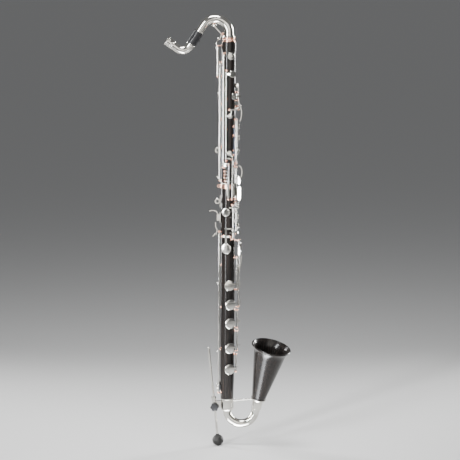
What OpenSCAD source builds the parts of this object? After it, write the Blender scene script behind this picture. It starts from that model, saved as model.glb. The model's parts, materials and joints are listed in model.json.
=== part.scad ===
// Low-C bass clarinet: a keyed wooden body in two joints, a curved metal neck with a tuning
// sleeve, a metal bow, a wooden bell and an adjustable floor peg.
// +Z runs up the bore of the body and +X points to the bell. The origin is the tip of the peg.
// A place round the body is an angle a (0 faces -Y, 90 faces +X), a radius r and a height z.

/* [Wooden body] */
// Outer radius of both wooden joints
body_r = 20.3; // [20.1:0.1:20.5]
// Radius of the bore through the body
bore_r = 11.75; // [11:0.05:12.5]
// Outer radius of the thick socket at the top
socket_r = 21.4; // [21:0.1:22]
// Height of the bottom of the lower joint
foot_z = 137; // [136:0.5:138]
// Height where the two joints meet
joint_z = 740; // [739:0.5:741]
// Height of the top of the upper joint
head_z = 1142; // [1141:0.5:1143]

/* [Keywork] */
// Radius of the steel hinge rods
rod_r = 1.3; // [1:0.05:1.4]
// Outer radius of the hinge tubes
tube_r = 2.5; // [2.4:0.05:2.6]
// Running clearance between a rod and its tube
rod_play = 0.05; // [0.03:0.01:0.08]
// Usual distance of a hinge from the bore axis
hinge_r = 26; // [25.8:0.1:26.2]
// Radius of the ball that ends each post
ball_r = 3.1; // [3:0.05:3.2]
// Height of the tone hole seats above the wood
seat_h = 1; // [0.8:0.1:1.2]
// Thickness of the pads
pad_t = 2.6; // [2.4:0.1:2.8]
// Gap that a pad keeps above its seat
pad_gap = 0.15; // [0.1:0.05:0.3]
// Thickness of the key arms
arm_t = 2; // [1.8:0.1:2.2]
// Width of the key arms
arm_w = 3.6; // [3:0.2:4]

/* [Neck] */
// Radius of the neck's arch, at the middle of its tube
arch_r = 37.8; // [37.5:0.1:38]
// Angle that the arch turns through
arch_turn = 146.6; // [146:0.1:147]
// Outer radius of the neck at the body
neck_r0 = 14.5; // [14.2:0.1:14.6]
// Outer radius of the neck at the sleeve
neck_r1 = 11.3; // [11.1:0.05:11.3]
// Outer radius of the tuning sleeve
sleeve_r = 13.8; // [13.4:0.1:14.2]
// Length of the tuning sleeve
sleeve_l = 40; // [38:0.5:42]
// Inner radius of the mouthpiece receiver
receiver_bore_r = 11.2; // [10.8:0.1:11.4]

/* [Bow and bell] */
// Radius of the bow, at the middle of its tube
bow_r = 40.3; // [40:0.1:41]
// Outer radius of the bow's tube
bow_tube_r = 11.5; // [11:0.1:12]
// Lean of the bell away from the body
bell_lean = 12.6; // [12:0.2:13]
// Lean of the bell to the -Y side
bell_side_lean = 12; // [11:0.5:13]
// Length of the bell above its ferrule
bell_l = 162; // [158:1:166]
// Outer radius of the bell's mouth
mouth_r = 56; // [54:0.5:58]

/* [Floor peg] */
// Radius of the peg rod
peg_r = 3.2; // [3:0.1:3.4]
// Lean of the peg
peg_lean = 5.8; // [5.4:0.1:6.2]
// Radius of the rubber ball
peg_ball_r = 16; // [15:0.5:17]

/* [Hidden] */
$fn = 64;

silver = [0.82, 0.82, 0.8];
copper = [0.78, 0.5, 0.38];
wood = [0.09, 0.07, 0.065];
black = [0.06, 0.06, 0.065];
cork = [0.72, 0.55, 0.36];
felt = [0.85, 0.78, 0.66];

// The bore axis stands this far from the tip of the peg.
axis_x = 25;

module on_body() { translate([axis_x, 0, 0]) children(); }

// ---- Places and outlines ----
// A point round the body, and a point at a sideways distance and a level from the bore axis.
function at(a, r, z) = [r * sin(a), -r * cos(a), z];
function across(a, side, level) =
    [level * sin(a) + side * cos(a), side * sin(a) - level * cos(a)];

// A strip of even thickness along a line of 2D points, with mitred corners.
function normal(p, q) = [p[1] - q[1], q[0] - p[0]] / norm(q - p);
function edge(pts, t) = [for (i = [0 : len(pts) - 1])
    let (n = len(pts) - 1,
         before = normal(pts[max(i - 1, 0)], pts[max(i, 1)]),
         after = normal(pts[min(i, n - 1)], pts[min(i + 1, n)]))
    pts[i] + (before + after) / (1 + before * after) * t / 2];
function reversed(pts) = [for (i = [len(pts) - 1 : -1 : 0]) pts[i]];
function strip(pts, t) = concat(edge(pts, t), reversed(edge(pts, -t)));

// A bar with round ends, h long and w wide.
function pill(w, h) = concat(
    [for (i = [0 : 12]) [cos(i * 15), sin(i * 15)] * w / 2 + [0, (h - w) / 2]],
    [for (i = [12 : 24]) [cos(i * 15), sin(i * 15)] * w / 2 - [0, (h - w) / 2]]);

// Local +Z points away from the bore, +Y up and +X towards larger angles.
module radial(a, z) { translate([0, 0, z]) rotate([0, 0, a]) rotate([90, 0, 0]) children(); }

// Local +Z runs from p to q.
module between(p, q) {
    d = q - p;
    translate(p) rotate([0, acos(d[2] / norm(d)), atan2(d[1], d[0])]) children();
}
module bar(p, q, r) { between(p, q) cylinder(r = r, h = norm(q - p)); }

// ---- Hinges ----
// Upright hinges: angle, radius, and the heights of the two posts that carry the rod.
H_REGISTER = [-76, 31, 1046, 1131];
H_THUMB = [-65, hinge_r, 757, 1086];
H_TRILL_1 = [-31, hinge_r, 795, 1110];
H_TRILL_2 = [-14, hinge_r, 814, 1063];
H_G_SHARP = [74, hinge_r, 981, 1003];
H_LEFT = [57, hinge_r, 805, 928];
H_SIDE = [26.5, hinge_r, 706, 817];
H_LEVER = [57, hinge_r, 706, 796];
H_SPARE = [4, hinge_r, 706, 804];
H_RIGHT = [32, hinge_r, 594, 690];
H_FINGER = [59, hinge_r, 610, 697];
H_BASS_1 = [72, 26.5, 450, 541];
H_BASS_2 = [87, 31, 400, 589];
H_BASS_3 = [84, 28.2, 341, 391];
H_BASS_4 = [84, 28.2, 275, 332];
H_BASS_5 = [72, 26.5, 216, 266];
H_LOW_C = [-66, hinge_r, 155, 614];

UPPER_HINGES = [H_REGISTER, H_THUMB, H_TRILL_1, H_TRILL_2, H_G_SHARP, H_LEFT];
BRIDGE_HINGES = [H_SIDE, H_LEVER, H_SPARE];
LOWER_HINGES = [H_RIGHT, H_FINGER, H_BASS_1, H_BASS_2, H_BASS_3, H_BASS_4, H_BASS_5, H_LOW_C];

// Crosswise hinges: angle, level, height, and the half length between the posts.
C_THROAT_A = [90, 25.2, 964, 7];
C_CROSS = [34, 26.6, 956, 15];
C_GATE = [-10, 26.6, 602, 12];

// Ladder of guide pins beside the side keys: the angle of its posts and its heights.
ladder_a = -22;
LADDER = [784, 775, 766, 757];

// Radius of the wood at a height.
function wood_r(z) = z > head_z - 26 ? socket_r
    : z < foot_z + foot_taper ? foot_r + (body_r - foot_r) * (z - foot_z) / foot_taper : body_r;

// Post places: angle, height and the radius of the ball.
function cross_posts(c) = [for (s = [-1, 1])
    [c[0] + s * atan(c[3] / c[1]), c[2], norm([c[1], c[3]])]];
UPPER_POSTS = concat(
    [for (h = UPPER_HINGES, i = [2, 3]) [h[0], h[i], h[1]]],
    [for (h = BRIDGE_HINGES) [h[0], h[3], h[1]]],
    [for (z = LADDER) [ladder_a, z, hinge_r]],
    cross_posts(C_THROAT_A), cross_posts(C_CROSS));
LOWER_POSTS = concat(
    [for (h = LOWER_HINGES, i = [2, 3]) [h[0], h[i], h[1]]],
    [for (h = BRIDGE_HINGES) [h[0], h[2], h[1]]],
    cross_posts(C_GATE));

post_stem_r = 1.6;
post_depth = 3.5;
// End play between a tube and the balls of its posts.
post_gap = ball_r + 0.1;

module upright(h) { translate(at(h[0], h[1], 0)) children(); }
module rod(h, grow = 0) {
    upright(h) translate([0, 0, h[2] - 2.6])
        cylinder(r = rod_r + grow, h = h[3] - h[2] + 5.2);
}
module cross_rod(c, grow = 0) {
    radial(c[0], c[2]) translate([0, 0, c[1]]) rotate([0, 90, 0])
        cylinder(r = rod_r + grow, h = 2 * c[3] + 5.2, center = true);
}
module ladder_pin(z, grow = 0) {
    bar(at(ladder_a, hinge_r, z) - [1.5, 0, 0], at(ladder_a, hinge_r, z) + [11, 0, 0],
        1.1 + grow);
}
module all_rods(grow = 0) {
    for (h = concat(UPPER_HINGES, BRIDGE_HINGES, LOWER_HINGES)) rod(h, grow);
    for (c = [C_THROAT_A, C_CROSS, C_GATE]) cross_rod(c, grow);
    for (z = LADDER) ladder_pin(z, grow);
}

module post(p) {
    base = wood_r(p[1]);
    radial(p[0], p[1]) {
        rotate_extrude() polygon([
            [0, base - post_depth], [post_stem_r, base - post_depth],
            [post_stem_r, base + 0.05], [3.5, base + 0.05], [3.5, base + 0.7],
            [2.2, base + 1.4], [1.5, base + 2.2], [1.7, p[2] - 1.5], [0, p[2] - 1.5]]);
        translate([0, 0, p[2]]) sphere(r = ball_r);
    }
}
module post_holes(posts) {
    for (p = posts) radial(p[0], p[1]) translate([0, 0, wood_r(p[1]) - post_depth])
        cylinder(r = post_stem_r, h = post_depth + 3);
}
// Posts drilled for the rod they carry.
module hinge_post(h, z) {
    difference() {
        post([h[0], z, h[1]]);
        rod(h, 0.02);
    }
}
module cross_hinge_posts(c) {
    for (p = cross_posts(c)) difference() {
        post(p);
        cross_rod(c, 0.02);
    }
}
module ladder_post(z) {
    difference() {
        post([ladder_a, z, hinge_r]);
        ladder_pin(z, 0.02);
    }
}

// ---- Key pieces ----
seat_level = body_r + seat_h;
pad_level = seat_level + pad_gap;
cup_level = pad_level + pad_t;
cup_top = cup_level + 2.2;
arm_level = cup_top + 0.5;

// Hinge tube, its bore, and the turn of a key about its hinge.
module tube(h) {
    upright(h) translate([0, 0, h[2] + post_gap])
        cylinder(r = tube_r, h = h[3] - h[2] - 2 * post_gap);
}
module tube_bore(h) {
    upright(h) translate([0, 0, h[2] - 5]) cylinder(r = rod_r + rod_play, h = h[3] - h[2] + 10);
}
module turned(h, deg) {
    translate(at(h[0], h[1], 0)) rotate([0, 0, deg]) translate(-at(h[0], h[1], 0)) children();
}
module collar(h, z, l = 3) {
    upright(h) translate([0, 0, z - l / 2]) cylinder(r = tube_r + 0.6, h = l);
}

// A cup of diameter d: a domed cap with a rim that holds the pad.
module cup(a, z, d) {
    r = d / 2;
    dome = [for (i = [0 : 6]) [r * cos(i * 15), cup_level + 0.6 + 1.6 * sin(i * 15)]];
    radial(a, z) {
        rotate_extrude() polygon(concat(
            [[0, cup_level], [r - 0.9, cup_level], [r - 0.9, pad_level + 0.9],
             [r, pad_level + 0.9]], dome));
        translate([0, 0, cup_level + 1]) cylinder(r = 2.6, h = arm_level - cup_level);
    }
}
module pad(a, z, d) {
    r = d / 2 - 0.95;
    radial(a, z) rotate_extrude() polygon([
        [0, pad_level], [r - 0.5, pad_level], [r, pad_level + 0.5], [r, cup_level],
        [0, cup_level]]);
}

// A flat arm across the body, from its hinge over the rim and the middle of a cup.
module arm(h, a, z, d, w = arm_w) {
    side = sign(h[0] - a);
    flat_arm([across(h[0], 0, h[1]), across(a, side * (d / 2 - 0.6), arm_level),
              across(a, -side * d * 0.14, arm_level)], z, w);
}
module flat_arm(pts, z, w = arm_w, t = arm_t) {
    translate([0, 0, z - w / 2]) linear_extrude(w) polygon(strip(pts, t));
}
// An arm that follows a circle round the bore, from a hinge to the angle b.
module round_arm(h, b, r, z, w = arm_w) {
    steps = max(2, ceil(abs(b - h[0]) / 9));
    flat_arm(concat([across(h[0], 0, h[1])],
        [for (i = [0 : steps]) let (a = h[0] + (b - h[0]) * (0.12 + 0.88 * i / steps))
            across(a, 0, r)]), z, w);
}
// A flat finger piece.
module touch(a, z, w, h, level, t = 1.8) {
    radial(a, z) translate([0, 0, level]) linear_extrude(t) polygon(pill(w, h));
}

// Tone holes: angle, height, radius of the hole and diameter of the cup.
UPPER_HOLES = [[16, 1103, 5, 20.5], [27, 1053.5, 5, 20], [90, 1021, 4, 14], [41, 992, 5.5, 19],
    [12, 938, 4, 15], [97, 908, 7, 22], [97, 876, 6.5, 19], [97, 838, 6, 18],
    [11, 834, 5, 16]];
LOWER_HOLES = [[-14, 669.5, 8, 23], [97, 655, 7, 20], [97, 629, 7, 20], [-10, 567, 9, 28],
    [14, 463, 10, 29], [16, 409, 10.5, 30], [15.5, 356, 10.5, 30], [16, 285, 10.5, 30],
    [14, 225, 10.5, 29.5], [-106, 172, 10, 27]];

module seats(holes) {
    for (t = holes) radial(t[0], t[1]) translate([0, 0, body_r - 7])
        cylinder(r = min(t[2] + 2.2, t[3] / 2 - 1.2), h = seat_level - body_r + 7);
}
module tone_holes(holes) {
    for (t = holes) radial(t[0], t[1]) translate([0, 0, 6]) cylinder(r = t[2], h = 20);
}

// ---- Wooden body ----
tenon_r = 15.6;
tenon_l = 22;
tenon_gap = 0.05;
neck_socket_r = 14.2;
neck_socket_l = 20;
foot_r = 18.2;
foot_taper = 70;

module upper_joint() {
    color(wood) on_body() difference() {
        union() {
            rotate_extrude() polygon([
                [bore_r, joint_z], [body_r, joint_z], [body_r, head_z - 27],
                [socket_r, head_z - 25.5], [socket_r, head_z - 1], [socket_r - 1, head_z],
                [bore_r, head_z]]);
            seats(UPPER_HOLES);
        }
        translate([0, 0, joint_z - 1]) cylinder(r = bore_r, h = head_z - joint_z + 2);
        translate([0, 0, joint_z - 1]) cylinder(r = tenon_r + 1, h = tenon_l + 1 + tenon_gap);
        translate([0, 0, head_z - neck_socket_l]) cylinder(r = neck_socket_r, h = 30);
        tone_holes(UPPER_HOLES);
        post_holes(UPPER_POSTS);
    }
}

module lower_joint() {
    color(wood) on_body() difference() {
        union() {
            rotate_extrude() polygon([
                [bore_r, foot_z - 18], [foot_r - 4, foot_z - 18], [foot_r - 4, foot_z],
                [foot_r, foot_z], [body_r, foot_z + foot_taper], [body_r, joint_z],
                [tenon_r, joint_z], [tenon_r, joint_z + tenon_l], [bore_r, joint_z + tenon_l]]);
            seats(LOWER_HOLES);
        }
        translate([0, 0, foot_z - 20]) cylinder(r = bore_r, h = joint_z - foot_z + 60);
        tone_holes(LOWER_HOLES);
        post_holes(LOWER_POSTS);
    }
}

// Ring under the neck, with beads round it, and the clamp ring round the joint.
ring_r = 17.4;
ring_h = 12;
clamp_h = 12;
module copper_rings() {
    color(copper) on_body() {
        difference() {
            union() {
                translate([0, 0, head_z]) rotate_extrude() polygon([
                    [neck_socket_r, 0], [ring_r + 1, 0], [ring_r + 1, 2], [ring_r - 0.8, 3],
                    [ring_r - 0.8, ring_h - 3], [ring_r + 0.6, ring_h - 2],
                    [ring_r + 0.6, ring_h], [neck_socket_r, ring_h]]);
                for (i = [0 : 17]) radial(i * 20, head_z + ring_h / 2)
                    translate([0, 0, ring_r - 1.6]) sphere(r = 2.3);
            }
            translate([0, 0, head_z - 1]) cylinder(r = neck_socket_r, h = ring_h + 2);
        }
        translate([0, 0, joint_z - 5]) difference() {
            union() {
                rotate_extrude() polygon([
                    [body_r + 0.03, 0], [body_r + 1.4, 0], [body_r + 1.8, 1],
                    [body_r + 1.8, clamp_h - 1], [body_r + 1.4, clamp_h],
                    [body_r + 0.03, clamp_h]]);
                for (s = [-1, 1]) translate([-body_r - 5, s * 2.4 - 1.4, clamp_h / 2])
                    rotate([-90, 0, 0]) cylinder(r = 5, h = 2.8);
            }
            cylinder(r = body_r + 0.03, h = clamp_h * 2, center = true);
            translate([-body_r - 12, -1, -5]) cube([12, 2, clamp_h + 10]);
            translate([-body_r - 5.5, -8, clamp_h / 2]) rotate([-90, 0, 0])
                cylinder(r = 1.5, h = 16);
        }
    }
}

module tenon_corks() {
    color(cork) on_body() {
        translate([0, 0, joint_z + 4]) difference() {
            cylinder(r = tenon_r + 0.95, h = 14);
            translate([0, 0, -1]) cylinder(r = tenon_r, h = 16);
        }
        translate([0, 0, foot_z - 15]) difference() {
            cylinder(r = foot_r - 2.85, h = 11);
            translate([0, 0, -1]) cylinder(r = foot_r - 4, h = 13);
        }
        translate([0, 0, head_z - 15]) difference() {
            cylinder(r = neck_socket_r - 0.05, h = 12);
            translate([0, 0, -1]) cylinder(r = neck_tenon_r, h = 14);
        }
    }
}

// ---- Neck ----
// The neck lies in the XZ plane. Its arch starts straight above the body, turns over to the
// back, and ends in a straight stretch that the tuning sleeve holds.
neck_tenon_r = 13.1;
neck_wall = 1.2;
collar_z = head_z + ring_h;
arch_z = 1167;
arch_mid = [-arch_r, arch_z];
heading = 90 + arch_turn;
dir = [cos(heading), sin(heading)];
arch_end = arch_mid + arch_r * [cos(arch_turn), sin(arch_turn)];
sleeve_start = 23;
upper_tube_end = sleeve_start + 15;
lower_tube_start = sleeve_start + 18.5;
bend_start = sleeve_start + sleeve_l + 7;
bend_r = 24.6;
bend_turn = 93;
lower_r = 11.3;
bend_tube_r = 11.7;
receiver_r = 13.4;
receiver_l = 23;
receiver_lead = 13;

function neck_point(s) = arch_end + s * dir;
module in_neck_plane(p, turn) {
    translate([p[0], 0, p[1]]) rotate([0, 90 - turn, 0]) children();
}

// Tube along a line of stations. Each one is its place, the direction of the line, the
// direction of the first corner of the ring round it, and the outer and inner radius.
SIDES = 32;
function ring(station, r) = [for (k = [0 : SIDES - 1])
    station[0] + r * cos(k * 360 / SIDES) * station[2]
        + r * sin(k * 360 / SIDES) * cross(station[2], station[1])];
module hollow_sweep(stations) {
    n = len(stations);
    points = concat([for (p = stations) each ring(p, p[3])], [for (p = stations) each ring(p, p[4])]);
    inner = n * SIDES;
    last = (n - 1) * SIDES;
    function next(k) = (k + 1) % SIDES;
    faces = concat(
        [for (i = [0 : n - 2], k = [0 : SIDES - 1])
            [i * SIDES + next(k), (i + 1) * SIDES + next(k), (i + 1) * SIDES + k, i * SIDES + k]],
        [for (i = [0 : n - 2], k = [0 : SIDES - 1])
            [inner + i * SIDES + k, inner + (i + 1) * SIDES + k,
             inner + (i + 1) * SIDES + next(k), inner + i * SIDES + next(k)]],
        [for (k = [0 : SIDES - 1]) [inner + k, inner + next(k), next(k), k]],
        [for (k = [0 : SIDES - 1])
            [inner + last + next(k), inner + last + k, last + k, last + next(k)]]);
    polyhedron(points = points, faces = faces, convexity = 6);
}
// A station in the XZ plane, from its place, its heading and its two radii.
function flat_station(p, turn, outer, inner) =
    [[p[0], 0, p[1]], [cos(turn), 0, sin(turn)], [-sin(turn), 0, cos(turn)], outer, inner];

// The neck's upper tube narrows along its arch.
ARCH_STEPS = 28;
function neck_station(p, turn, done) =
    flat_station(p, turn, neck_r0 + (neck_r1 - neck_r0) * done,
                 neck_r0 + (neck_r1 - neck_r0) * done - neck_wall);
NECK_PATH = concat(
    [neck_station([0, collar_z + 5], 90, 0), neck_station([0, arch_z], 90, 0.06)],
    [for (i = [1 : ARCH_STEPS]) let (t = arch_turn * i / ARCH_STEPS)
        neck_station(arch_mid + arch_r * [cos(t), sin(t)], 90 + t, 0.06 + 0.94 * i / ARCH_STEPS)],
    [neck_station(neck_point(sleeve_start), heading, 1),
     neck_station(neck_point(upper_tube_end), heading, 1)]);

module neck_tenon() {
    color(silver) on_body() rotate_extrude() polygon([
        [11, head_z - 18], [neck_tenon_r, head_z - 18], [neck_tenon_r, head_z - 3],
        [neck_socket_r - 0.05, head_z - 3], [neck_socket_r - 0.05, collar_z],
        [ring_r + 0.4, collar_z], [ring_r + 0.8, collar_z + 1.2], [ring_r + 0.4, collar_z + 2.6],
        [neck_r0 + 1, collar_z + 3.2], [neck_r0 + 0.8, collar_z + 5], [11, collar_z + 5]]);
}
module neck_tube() { color(silver) on_body() hollow_sweep(NECK_PATH); }

module neck_sleeve() {
    color(black) on_body() in_neck_plane(neck_point(sleeve_start), heading) difference() {
        union() {
            rotate_extrude() polygon([
                [lower_r + 0.05, 0], [sleeve_r - 0.7, 0], [sleeve_r, 0.7], [sleeve_r, sleeve_l - 0.7],
                [sleeve_r - 0.7, sleeve_l], [lower_r + 0.05, sleeve_l]]);
            translate([0, 0, sleeve_l * 0.55]) rotate([0, -90, 0]) cylinder(r = 3, h = sleeve_r + 1.6);
        }
        translate([0, 0, -1]) cylinder(r = lower_r + 0.05, h = sleeve_l + 2);
    }
}

bend_angle = heading + 90;
bend_mid = neck_point(bend_start) - bend_r * [cos(bend_angle), sin(bend_angle)];
bend_end = bend_mid + bend_r * [cos(bend_angle - bend_turn), sin(bend_angle - bend_turn)];
bend_heading = heading - bend_turn;
receiver_start = bend_end + receiver_lead * [cos(bend_heading), sin(bend_heading)];

// The lower tube, with a guard ring below the sleeve, then the bend to the mouthpiece.
BEND_STEPS = 16;
guard = sleeve_start + sleeve_l + 1;
LOWER_PATH = concat(
    [for (c = [[lower_tube_start, lower_r], [guard, lower_r], [guard + 0.3, bend_tube_r + 0.9],
               [guard + 2.4, bend_tube_r + 0.9], [guard + 2.7, bend_tube_r]])
        flat_station(neck_point(c[0]), heading, c[1], lower_r - neck_wall)],
    [for (i = [0 : BEND_STEPS]) let (t = bend_turn * i / BEND_STEPS)
        flat_station(bend_mid + bend_r * [cos(bend_angle - t), sin(bend_angle - t)], heading - t,
                     bend_tube_r, lower_r - neck_wall)],
    [flat_station(receiver_start, bend_heading, bend_tube_r, lower_r - neck_wall)]);
module neck_lower_tube() { color(silver) on_body() hollow_sweep(LOWER_PATH); }

module mouthpiece_receiver() {
    color(silver) on_body() in_neck_plane(receiver_start, bend_heading) difference() {
        rotate_extrude() polygon([
            [0, 0], [bend_tube_r + 0.8, 0], [receiver_r, 1.2], [receiver_r, 2.4],
            [receiver_r - 0.4, 3], [receiver_r - 0.4, receiver_l - 3],
            [receiver_r + 0.3, receiver_l - 2.4], [receiver_r + 0.3, receiver_l], [0, receiver_l]]);
        translate([0, 0, 3]) cylinder(r = receiver_bore_r, h = receiver_l);
        translate([0, 0, -1]) cylinder(r = lower_r - neck_wall, h = receiver_l);
    }
}

// ---- Neck register key ----
// It rocks on a pin across a saddle at the foot of the arch.
saddle = [-19.5, 1162];
vent_turn = 98;
vent_dir = [cos(vent_turn), sin(vent_turn)];
vent_seat = 22.8;
tail_ball = [-24.4, 1150.5];
module across_neck(p, r, l) {
    translate([p[0], 0, p[1]]) rotate([90, 0, 0]) cylinder(r = r, h = l, center = true);
}
module in_xz(w, y = 0) { translate([0, y + w / 2, 0]) rotate([90, 0, 0]) linear_extrude(w) children(); }

module neck_saddle() {
    for (s = [-1, 1]) in_xz(1.6, s * 4.4)
        polygon([[saddle[0] - 2.6, 1160.6], [saddle[0], 1159.3], [-14.7, 1159.3], [-14.7, 1168],
                 [saddle[0], 1165.6], [saddle[0] - 2.6, 1164]]);
    p = arch_mid + (vent_seat + 2.5) * vent_dir;
    in_neck_plane(p, vent_turn + 180) cylinder(r = 3, h = 2.5);
}

module neck_register_key() {
    top = arch_mid + 17.8 * vent_dir;
    color(silver) on_body() difference() {
        union() {
            across_neck(saddle, 2.6, 6.8);
            in_xz(4) polygon(strip([saddle, top], 2.4));
            in_xz(3.2) polygon(strip([saddle, tail_ball], 2.6));
            translate([tail_ball[0], 0, tail_ball[1]]) sphere(r = 2.6);
            in_neck_plane(arch_mid + 20.4 * vent_dir, vent_turn + 180)
                rotate_extrude() polygon([
                    [0, 0], [4.6, 0], [4.6, -1.5], [5.5, -1.5], [5.5, 0.8], [4.6, 1.8],
                    [2, 2.3], [2, 3.4], [0, 3.4]]);
        }
        across_neck(saddle, rod_r + rod_play, 20);
    }
}
module neck_register_pad() {
    color(felt) on_body() in_neck_plane(arch_mid + 22.65 * vent_dir, vent_turn + 180)
        rotate_extrude() polygon([[0, 0], [4, 0], [4.5, 0.5], [4.5, 2.25], [0, 2.25]]);
}

// ---- Posts, rods and springs ----
module upper_posts() {
    color(copper) on_body() {
        for (h = UPPER_HINGES, i = [2, 3]) hinge_post(h, h[i]);
        for (h = BRIDGE_HINGES) hinge_post(h, h[3]);
        for (z = LADDER) ladder_post(z);
        for (c = [C_THROAT_A, C_CROSS]) cross_hinge_posts(c);
        difference() {
            neck_saddle();
            across_neck(saddle, rod_r + 0.02, 20);
        }
    }
}
module lower_posts() {
    color(copper) on_body() {
        for (h = LOWER_HINGES, i = [2, 3]) hinge_post(h, h[i]);
        for (h = BRIDGE_HINGES) hinge_post(h, h[2]);
        cross_hinge_posts(C_GATE);
    }
}
module hinge_rods() {
    color(silver) on_body() {
        all_rods();
        across_neck(saddle, rod_r, 10.4);
        tube(H_SPARE);
    }
}
module needle_springs() {
    color("slategray") on_body() for (h = concat(UPPER_HINGES, LOWER_HINGES)) {
        l = min(22, h[3] - h[2] - 5);
        bar(at(h[0], body_r + 2.4, h[2] + 2), at(h[0], body_r + 1.3, h[2] + l), 0.4);
    }
}

// ---- Fittings on the wood ----
STRAP_Z = [841, 698];
strap_x = -body_r - 9;
strap_bore_r = 4;
module strap_rings() {
    color(silver) on_body() for (z = STRAP_Z) difference() {
        union() {
            translate([strap_x, 0, z]) rotate([90, 0, 0]) rotate_extrude() polygon([
                [strap_bore_r, -1.3], [strap_bore_r + 0.4, -1.8], [7.4, -1.8], [8, -1.2],
                [8, 1.2], [7.4, 1.8], [strap_bore_r + 0.4, 1.8], [strap_bore_r, 1.3]]);
            translate([-body_r - 2.2, -4, z - 17]) cube([2.15, 8, 34]);
        }
        for (s = [-1, 1]) translate([-body_r - 3, 0, z + s * 13]) rotate([0, 90, 0])
            cylinder(r = 1.6, h = 4);
    }
}

module thumb_rest() {
    color(silver) on_body() {
        translate([-body_r - 2.4, -9, 638]) cube([2.35, 18, 30]);
        translate([-body_r - 10.5, -5.5, 644]) cube([8.2, 11, 18]);
        in_xz(18) polygon(strip([[-27, 655], [-28.5, 664], [-32, 670], [-37, 672.4],
                                 [-45, 673], [-52, 671.4]], 2.6));
    }
}

// ---- Keys of the upper joint ----
// The thumb key lifts the register lever, which tips the neck's register key.
module register_lever() {
    hinge = [at(H_REGISTER[0], H_REGISTER[1], 0)[0], at(H_REGISTER[0], H_REGISTER[1], 0)[1]];
    color(silver) on_body() difference() {
        union() {
            tube(H_REGISTER);
            collar(H_REGISTER, 1096, 4);
            collar(H_REGISTER, 1056, 3);
            flat_arm([hinge, across(-56, 0, 33)], 1075);
            flat_arm([hinge, hinge + [-4.4, 6.2]], 1123, 4.4);
            bar([hinge[0] - 4.2, hinge[1] + 6, 1123], [hinge[0] - 3.6, hinge[1] + 6.4, 1141], 1.5);
            bar([hinge[0] - 3.6, hinge[1] + 6.4, 1140], [-29.4, 0, 1147], 1.5);
            bar([-29.4, 0, 1146], [-29.4, 0, 1154], 1.5);
        }
        tube_bore(H_REGISTER);
    }
}
module register_thumb_key() {
    S = [at(-65, 31, 767), at(-34, 31, 751), at(-8, 31, 749), at(-3, 31.5, 744),
         at(-3, 31.5, 716), at(2, 32.4, 710)];
    color(silver) on_body() difference() {
        union() {
            tube(H_THUMB);
            for (z = [953, 930, 908]) collar(H_THUMB, z, 4.2);
            flat_arm([across(-65, 0, hinge_r), across(-56, 0, 29.8)], 1075);
            flat_arm([across(-65, 0, hinge_r), across(-84, 0, 29), across(-104, 0, 29)], 1000, 5);
            touch(-112, 1000, 11, 24, 28.2);
            bar(at(-65, 25, 769), S[0], 1.9);
            for (i = [0 : len(S) - 2]) bar(S[i], S[i + 1], 1.5);
            for (p = S) translate(p) sphere(r = 1.9);
        }
        tube_bore(H_THUMB);
    }
}

module trill_key_1() {
    h = H_TRILL_1;
    color(silver) on_body() difference() {
        union() {
            tube(h);
            collar(h, 1074, 4);
            cup(16, 1103, 20.5);
            arm(h, 16, 1103, 20.5);
            round_arm(h, 5, 31.5, 806, 3);
            round_arm(h, -50, 29, 806, 3);
            round_arm(h, -4, 31.5, 800.5, 3);
        }
        tube_bore(h);
    }
}
module trill_pad_1() { color(felt) on_body() pad(16, 1103, 20.5); }

module trill_key_2() {
    h = H_TRILL_2;
    color(silver) on_body() difference() {
        union() {
            tube(h);
            collar(h, 1028, 3);
            cup(27, 1053.5, 20);
            arm(h, 27, 1053.5, 20);
            round_arm(h, 12, 29.5, 820.5, 3);
        }
        tube_bore(h);
    }
}
module trill_pad_2() { color(felt) on_body() pad(27, 1053.5, 20); }

// A long blade over the side of the body, on a crosswise hinge.
module throat_a_key() {
    color(silver) on_body() difference() {
        union() {
            translate([C_THROAT_A[1], 0, C_THROAT_A[2]]) rotate([90, 0, 0])
                cylinder(r = tube_r, h = 2 * (C_THROAT_A[3] - post_gap), center = true);
            in_xz(3.4) polygon(strip([[27.4, 1027], [27.4, 996], [27, 984], [29, 973], [33.5, 962],
                                      [36.6, 950], [36.4, 938], [34, 927], [31.2, 922]], 2.2));
            in_xz(3.4) polygon(strip([[C_THROAT_A[1], C_THROAT_A[2]], [30.5, 970]], 3));
            in_xz(9) polygon(strip([[36, 936], [34, 927], [31.2, 922]], 2));
            cup(90, 1021, 14);
        }
        cross_bore(C_THROAT_A);
    }
}
module cross_bore(c) {
    radial(c[0], c[2]) translate([0, 0, c[1]]) rotate([0, 90, 0])
        cylinder(r = rod_r + rod_play, h = 60, center = true);
}
module throat_a_pad() { color(felt) on_body() pad(90, 1021, 14); }

module throat_g_sharp_key() {
    h = H_G_SHARP;
    p = across(h[0], 0, h[1]);
    color(silver) on_body() difference() {
        union() {
            tube(h);
            cup(41, 992, 19);
            arm(h, 41, 992, 19);
            flat_arm([p, p + [10, 3.4]], 992, 4);
        }
        tube_bore(h);
    }
}
module throat_g_sharp_pad() { color(felt) on_body() pad(41, 992, 19); }

module cross_key() {
    elbow = at(48, 34, 961);
    tip = at(72, 35, 966);
    c = C_CROSS;
    t = at(c[0] + 90, 1, 0);
    mid = at(c[0], c[1], c[2]);
    color(silver) on_body() difference() {
        union() {
            bar(mid - t * (c[3] - post_gap), mid + t * (c[3] - post_gap), tube_r);
            cup(12, 938, 15);
            bar(mid - t * 6, at(12, arm_level - 0.3, 939), 1.6);
            bar(mid + t * 4, elbow, 1.6);
            bar(elbow, tip, 1.6);
            translate(elbow) sphere(r = 1.9);
            translate(tip) sphere(r = 3);
        }
        cross_bore(c);
    }
}
module cross_pad() { color(felt) on_body() pad(12, 938, 15); }

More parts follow.
